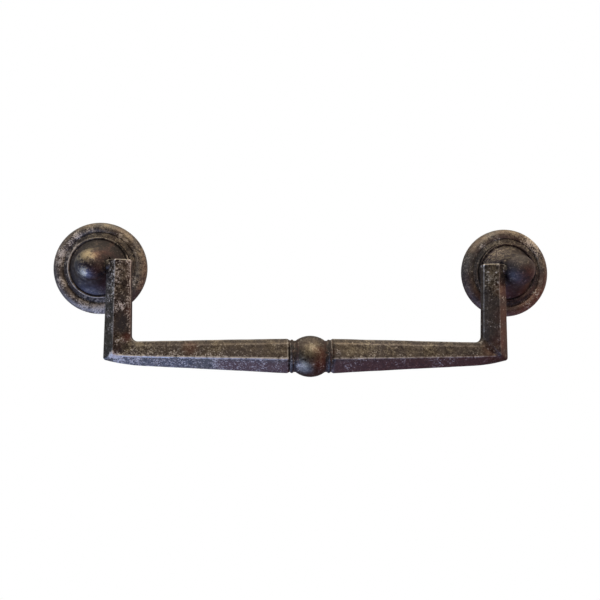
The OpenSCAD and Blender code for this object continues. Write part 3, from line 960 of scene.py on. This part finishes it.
# %% Worn and dirty lines, with a painted highlight and painted shade
def paint_lines(piece, name, points, width, strength):
    """Adds to a layer beside lines of points in millimetres: fully to half the width, then fading."""
    layer = piece.data.attributes[name]
    tree = kdtree.KDTree(len(points))
    for i, point in enumerate(points):
        tree.insert(Vector(point), i)
    tree.balance()
    for i, vert in enumerate(piece.data.vertices):
        away = tree.find(vert.co / MM)[2] / width
        layer.data[i].value = max(layer.data[i].value, strength * min(1, 2 - 2 * away))


LEFT, RIGHT = [-1], [1]
SEAT_RING_R = 10.3      # a ring of painted shade on a rosette, in the gap around the post's foot
SEAT_RING_H = 2.43
ring_turns = [math.radians(5 * i) for i in range(72)]
necks = [(sign * (bar_start_x - COLLAR_W), pivot_y + NECK_R * math.sin(a), ball_z + NECK_R * math.cos(a))
         for a in ring_turns for sign in (-1, 1)]
bar_part = corner_rings[-3:] + heel_rings + bar_rings
left_bar_end = [(-x, y, z) for x, y, z in bar_rings[-1]]
# For each line: its layer, its points, its width in millimetres and its strength.
for layer_name, points, width, strength in (
        ("edge_wear", crease(bar_part, RIDGE, LEFT), 0.35, 0.85),
        ("edge_wear", crease(heel_rings[3:] + bar_rings, RIDGE, RIGHT), 0.3, 0.6),
        ("edge_wear", crease(arm_rings, RIDGE, LEFT), 0.25, 0.36),
        ("edge_wear", crease(arm_rings, RIDGE, RIGHT), 0.25, 0.2),
        ("edge_wear", crease(all_rings, INNER_LINE), 0.25, 0.22),
        ("edge_wear", left_bar_end, 0.25, 0.42),
        # Painted shade: the right bar's end bevel, by the ball, is painted dark over its reflection.
        ("grime_and_shade", bar_rings[-1], 0.6, 0.6),
        ("grime_and_shade", necks, 1.5, 1.3),
        ("red_tarnish_and_reflection", necks, 1.5, 0.8),
        ("grime_and_shade", crease(bar_part, INNER_FACET), 0.8, 0.6),
        # A painted highlight: pale bloom along the left arm's inner facet, which catches the light from
        # above.
        ("pale_bloom_and_highlight", crease(arm_rings, INNER_FACET, LEFT), 1, 0.55)):
    paint_lines(bail, layer_name, points, width, strength)

seat_ring = [(sign * (post_x + SEAT_RING_R * math.cos(a)), -SEAT_RING_H, SEAT_RING_R * math.sin(a))
             for a in ring_turns for sign in (-1, 1)]
# Painted shade: a dark ring in the gap around each post's foot.
for piece in rosettes.values():
    paint_lines(piece, "grime_and_shade", seat_ring, width=0.9, strength=1.1)
print("layers on the bail:", [layer.name for layer in bail.data.attributes if layer.data_type == "FLOAT"])

# %% [markdown]
# The pockets and the pins in them lie in shadow, so they are painted black: this is painted shade. What
# lies near the pivot axis is simply set to full grime, which here stands for that shade. Last of all,
# every piece is shaded smooth, with its sharp edges kept crisp, so that turned and rounded forms show no
# facets and filed ones do.

# %% Painted shade in the pockets and smooth shading
POCKET_SLACK = 0.05     # how far past a pocket's own sizes its painted shade reaches
CRISP_ANGLE = 32


def paint_pocket_shade(piece, radius, start_x, end_x):
    """Painted shade: full grime around the pivot axis, between two distances from the handle's middle."""
    layer = piece.data.attributes["grime_and_shade"]
    for i, vert in enumerate(piece.data.vertices):
        across = math.hypot(vert.co.y / MM - pivot_y, vert.co.z / MM)
        if across < radius + POCKET_SLACK and start_x < abs(vert.co.x) / MM < end_x + POCKET_SLACK:
            layer.data[i].value = 1.0


for piece in posts.values():
    paint_pocket_shade(piece, radius=POCKET_R - 0.1, start_x=50, end_x=POCKET_X)
paint_pocket_shade(bail, radius=PIN_R, start_x=ARM_OUT_X - 2, end_x=pin_tip_x)
for group in (rosettes, posts, threads, fasteners, {"bail": bail}):
    for piece in group.values():
        piece.data.shade_smooth()
        piece.data.set_sharp_from_angle(angle=math.radians(CRISP_ANGLE))
grimy_and_shaded = sum(point.value > 0.5 for point in bail.data.attributes["grime_and_shade"].data)
print("grimy vertices on the bail:", grimy_and_shaded)

# %% [markdown]
# Darkened brass is brass under a thin brown-black skin of sulphide and wax. The skin still shines, so
# the shader stays a metal with a dark colour and a middling roughness. The layers of age lie over it one
# by one, each a mix of two colours: brown clouds, dark pits, khaki where cloth has thinned the skin,
# copper-red tarnish, the pale matt bloom of dried polish, bare edges, and black grime in the grooves.
# The painted layers say where, noise draws the small shapes, and dust and grime take the shine away.
# Some painted places are painted light rather than age: the khaki, bloom and red layers also carry
# painted highlights and painted reflections, and the grime layer also carries painted shade.

# %% Darkened brass
# The darkest colour, of pits and grime, and also of the painted shade that the grime layer carries.
PIT_AND_SHADE = "#1b1616"
COPPER_RED = "#7e4c3e"
CLOUD_MM = 8
MOTTLE_MM = 1.1
GRAIN_MM = 0.4          # a casting's pores are about half as wide, too fine to show from 20 cm
LATHE_MM = 0.8          # a lathe leaves its rings about 0.1 mm apart, too fine to show from 20 cm
RELIEF_MM = 0.12


def lathe_rings(tree, place, pitch_mm):
    """Uneven fine rings around the axis of the nearer post, from 0 to 1."""
    parts = add(tree, "SeparateXYZ", links={0: place}).outputs
    across = maths(tree, "SUBTRACT", maths(tree, "ABSOLUTE", parts[0]), post_x * MM)
    square = maths(tree, "MULTIPLY_ADD", across, across, maths(tree, "MULTIPLY", parts[2], parts[2]))
    radius = maths(tree, "SQRT", square)
    settings = {"noise_dimensions": "1D", "Scale": 1 / (pitch_mm * MM), "Detail": 2.0}
    return add(tree, "TexNoise", settings, {"W": radius}).outputs["Fac"]


def darkened_brass(name, skin, brown, khaki, bloom, edge, roughness, metal=1.0, turned=0.0):
    """Dark skin, brown clouds, khaki rubs, copper-red tarnish, pale bloom, worn edges and grime; the
    layers also carry painted highlights, reflections and shade.
    """
    material = bpy.data.materials.new(name)
    material.use_nodes = True
    tree = material.node_tree
    shader = tree.nodes["Principled BSDF"]
    place = add(tree, "TexCoord").outputs["Object"]

    def speckle(size_mm, detail=4.0, rough=0.6):
        settings = {"Scale": 1 / (size_mm * MM), "Detail": detail, "Roughness": rough}
        return add(tree, "TexNoise", settings, {"Vector": place}).outputs["Fac"]

    def layer(attribute):
        return add(tree, "Attribute", {"attribute_name": attribute}).outputs["Fac"]

    def scaled(value, factor):
        return maths(tree, "MULTIPLY", value, factor)

    clouds = speckle(CLOUD_MM, 3)
    mottle = speckle(MOTTLE_MM, 6, 0.7)
    grain = speckle(GRAIN_MM, 3, 0.65)
    rings = lathe_rings(tree, place, LATHE_MM)

    # The skin: brown clouds, dark pits and the dark rings of the lathe.
    colour = blended(tree, eased(tree, clouds, 0.38, 0.62), skin, brown)
    rub = maths(tree, "MULTIPLY_ADD", grain, 0.45, scaled(mottle, 0.55))
    colour = blended(tree, eased(tree, maths(tree, "SUBTRACT", 1.0, rub), 0.48, 0.62, 0.6), colour, PIT_AND_SHADE)
    colour = blended(tree, eased(tree, rings, 0.45, 0.7, 0.4 * turned), colour, PIT_AND_SHADE)
    # Khaki rubs, more of them where the bare brass layer is painted, which on the left dome is partly a
    # painted highlight, then the tarnish, which is partly a painted reddish reflection.
    rub = maths(tree, "MULTIPLY_ADD", layer("bare_brass_and_highlight"), 0.12, rub)
    colour = blended(tree, eased(tree, rub, 0.53, 0.68, 0.7), colour, khaki)
    colour = blended(tree, scaled(layer("red_tarnish_and_reflection"), 0.6), colour, COPPER_RED)
    # Pale bloom, partly a painted highlight, worn edges, and grime over all, which is partly painted
    # shade.
    dust = maths(tree, "MULTIPLY_ADD", grain, 0.6, scaled(mottle, 0.4))
    dust = maths(tree, "MULTIPLY_ADD", layer("pale_bloom_and_highlight"), 0.16, dust)
    bloom_and_highlight_share = eased(tree, dust, 0.58, 0.68, 0.85)
    colour = blended(tree, bloom_and_highlight_share, colour, bloom)
    worn = maths(tree, "MULTIPLY", layer("edge_wear"), eased(tree, mottle, 0.2, 0.55))
    worn = eased(tree, worn, 0.1, 0.8, 0.85)
    colour = blended(tree, worn, colour, edge)
    hollows = eased(tree, maths(tree, "SUBTRACT", 1.0, rub), 0.36, 0.6)
    dirt_and_shade = maths(tree, "MULTIPLY", layer("grime_and_shade"), maths(tree, "MULTIPLY_ADD", hollows, 0.65, 0.35))
    colour = blended(tree, dirt_and_shade, colour, PIT_AND_SHADE)
    tree.links.new(colour, shader.inputs["Base Color"])

    # What covers the metal takes its shine: less metallic and rougher.
    matt_bloom_and_highlight = eased(tree, dust, 0.53, 0.63, 0.85)
    cover = maths(tree, "MAXIMUM", matt_bloom_and_highlight, scaled(worn, 0.5))
    cover = maths(tree, "MAXIMUM", cover, scaled(dirt_and_shade, 0.85))
    shine = maths(tree, "SUBTRACT", metal, scaled(cover, metal))
    tree.links.new(shine, shader.inputs["Metallic"])
    matt = maths(tree, "ADD", roughness, scaled(maths(tree, "SUBTRACT", mottle, 0.5), 0.35))
    matt = maths(tree, "MULTIPLY_ADD", cover, 0.4, matt)
    tree.links.new(matt, shader.inputs["Roughness"])

    # A shallow relief of pores, dried dust and lathe rings.
    height = maths(tree, "ADD", scaled(mottle, 0.6), scaled(grain, 0.4))
    height = maths(tree, "MULTIPLY_ADD", bloom_and_highlight_share, 0.25, height)
    height = maths(tree, "MULTIPLY_ADD", rings, 0.5 * turned, height)
    bump = add(tree, "Bump", {"Strength": 0.35, "Distance": RELIEF_MM * MM}, {"Height": height})
    tree.links.new(bump.outputs[0], shader.inputs["Normal"])
    return material


# Cast brass, filed and darkened: its facets are smooth enough to show the lights as soft pale bands.
bail_finish = darkened_brass(
    "darkened_cast_brass", skin="#4e4846", brown="#564e46", khaki="#827a68", bloom="#cac5be",
    edge="#cdc9c4", roughness=0.36)
# Turned brass under old wax: the wax is matt, so the plates look paler, browner and less like metal.
rosette_finish = darkened_brass(
    "darkened_turned_brass", skin="#635f5c", brown="#71655b", khaki="#a0957f", bloom="#d8cfc0",
    edge="#a59a8e", roughness=0.48, metal=0.7, turned=0.7)
# Turned brass under thicker skin: nearly black domes, with fine rings and one bright edge at the foot.
post_finish = darkened_brass(
    "darkened_post_brass", skin="#49434a", brown="#4f4846", khaki="#a0947a", bloom="#9a9088",
    edge="#e0d6c6", roughness=0.4, metal=0.9, turned=0.5)
# Plain brass, never darkened and only dull with age: it stays golden, since no hand reaches it.
nut_finish = darkened_brass(
    "dull_fastener_brass", skin="#6e5a34", brown="#84703f", khaki="#a88f55", bloom="#8d8570",
    edge="#c8b070", roughness=0.42)
print("finishes:", [finish.name for finish in (bail_finish, rosette_finish, post_finish, nut_finish)])

# %% [markdown]
# Each piece now gets its finish and rides on the body that carries it: the bail on the one that swings,
# all else on the drawer front's. The solid that a piece stands for is hidden. The screw threads stand for
# no solid of their own, because the plain stems are part of the posts.

# %% Finishes and bodies
for side in ("left", "right"):
    for piece, node, slot, finish in (
            (rosettes[side], "rosette_", "rosette_patina", rosette_finish),
            (posts[side], "post_", "post_patina", post_finish),
            (fasteners["nut_" + side], "nut_", "fastener_brass", nut_finish),
            (fasteners["washer_" + side], "washer_", "fastener_brass", nut_finish)):
        piece.data.materials.clear()
        piece.data.materials.append(finish)
        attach(piece, "fixed")
        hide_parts(node + side)
    threads[side].data.materials.append(post_finish)
    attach(threads[side], "fixed")
bail.data.materials.clear()
bail.data.materials.append(bail_finish)
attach(bail, "swinging_bail")
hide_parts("bail")
print("on the drawer front:", len(rosettes) + len(posts) + len(threads) + len(fasteners), "pieces")
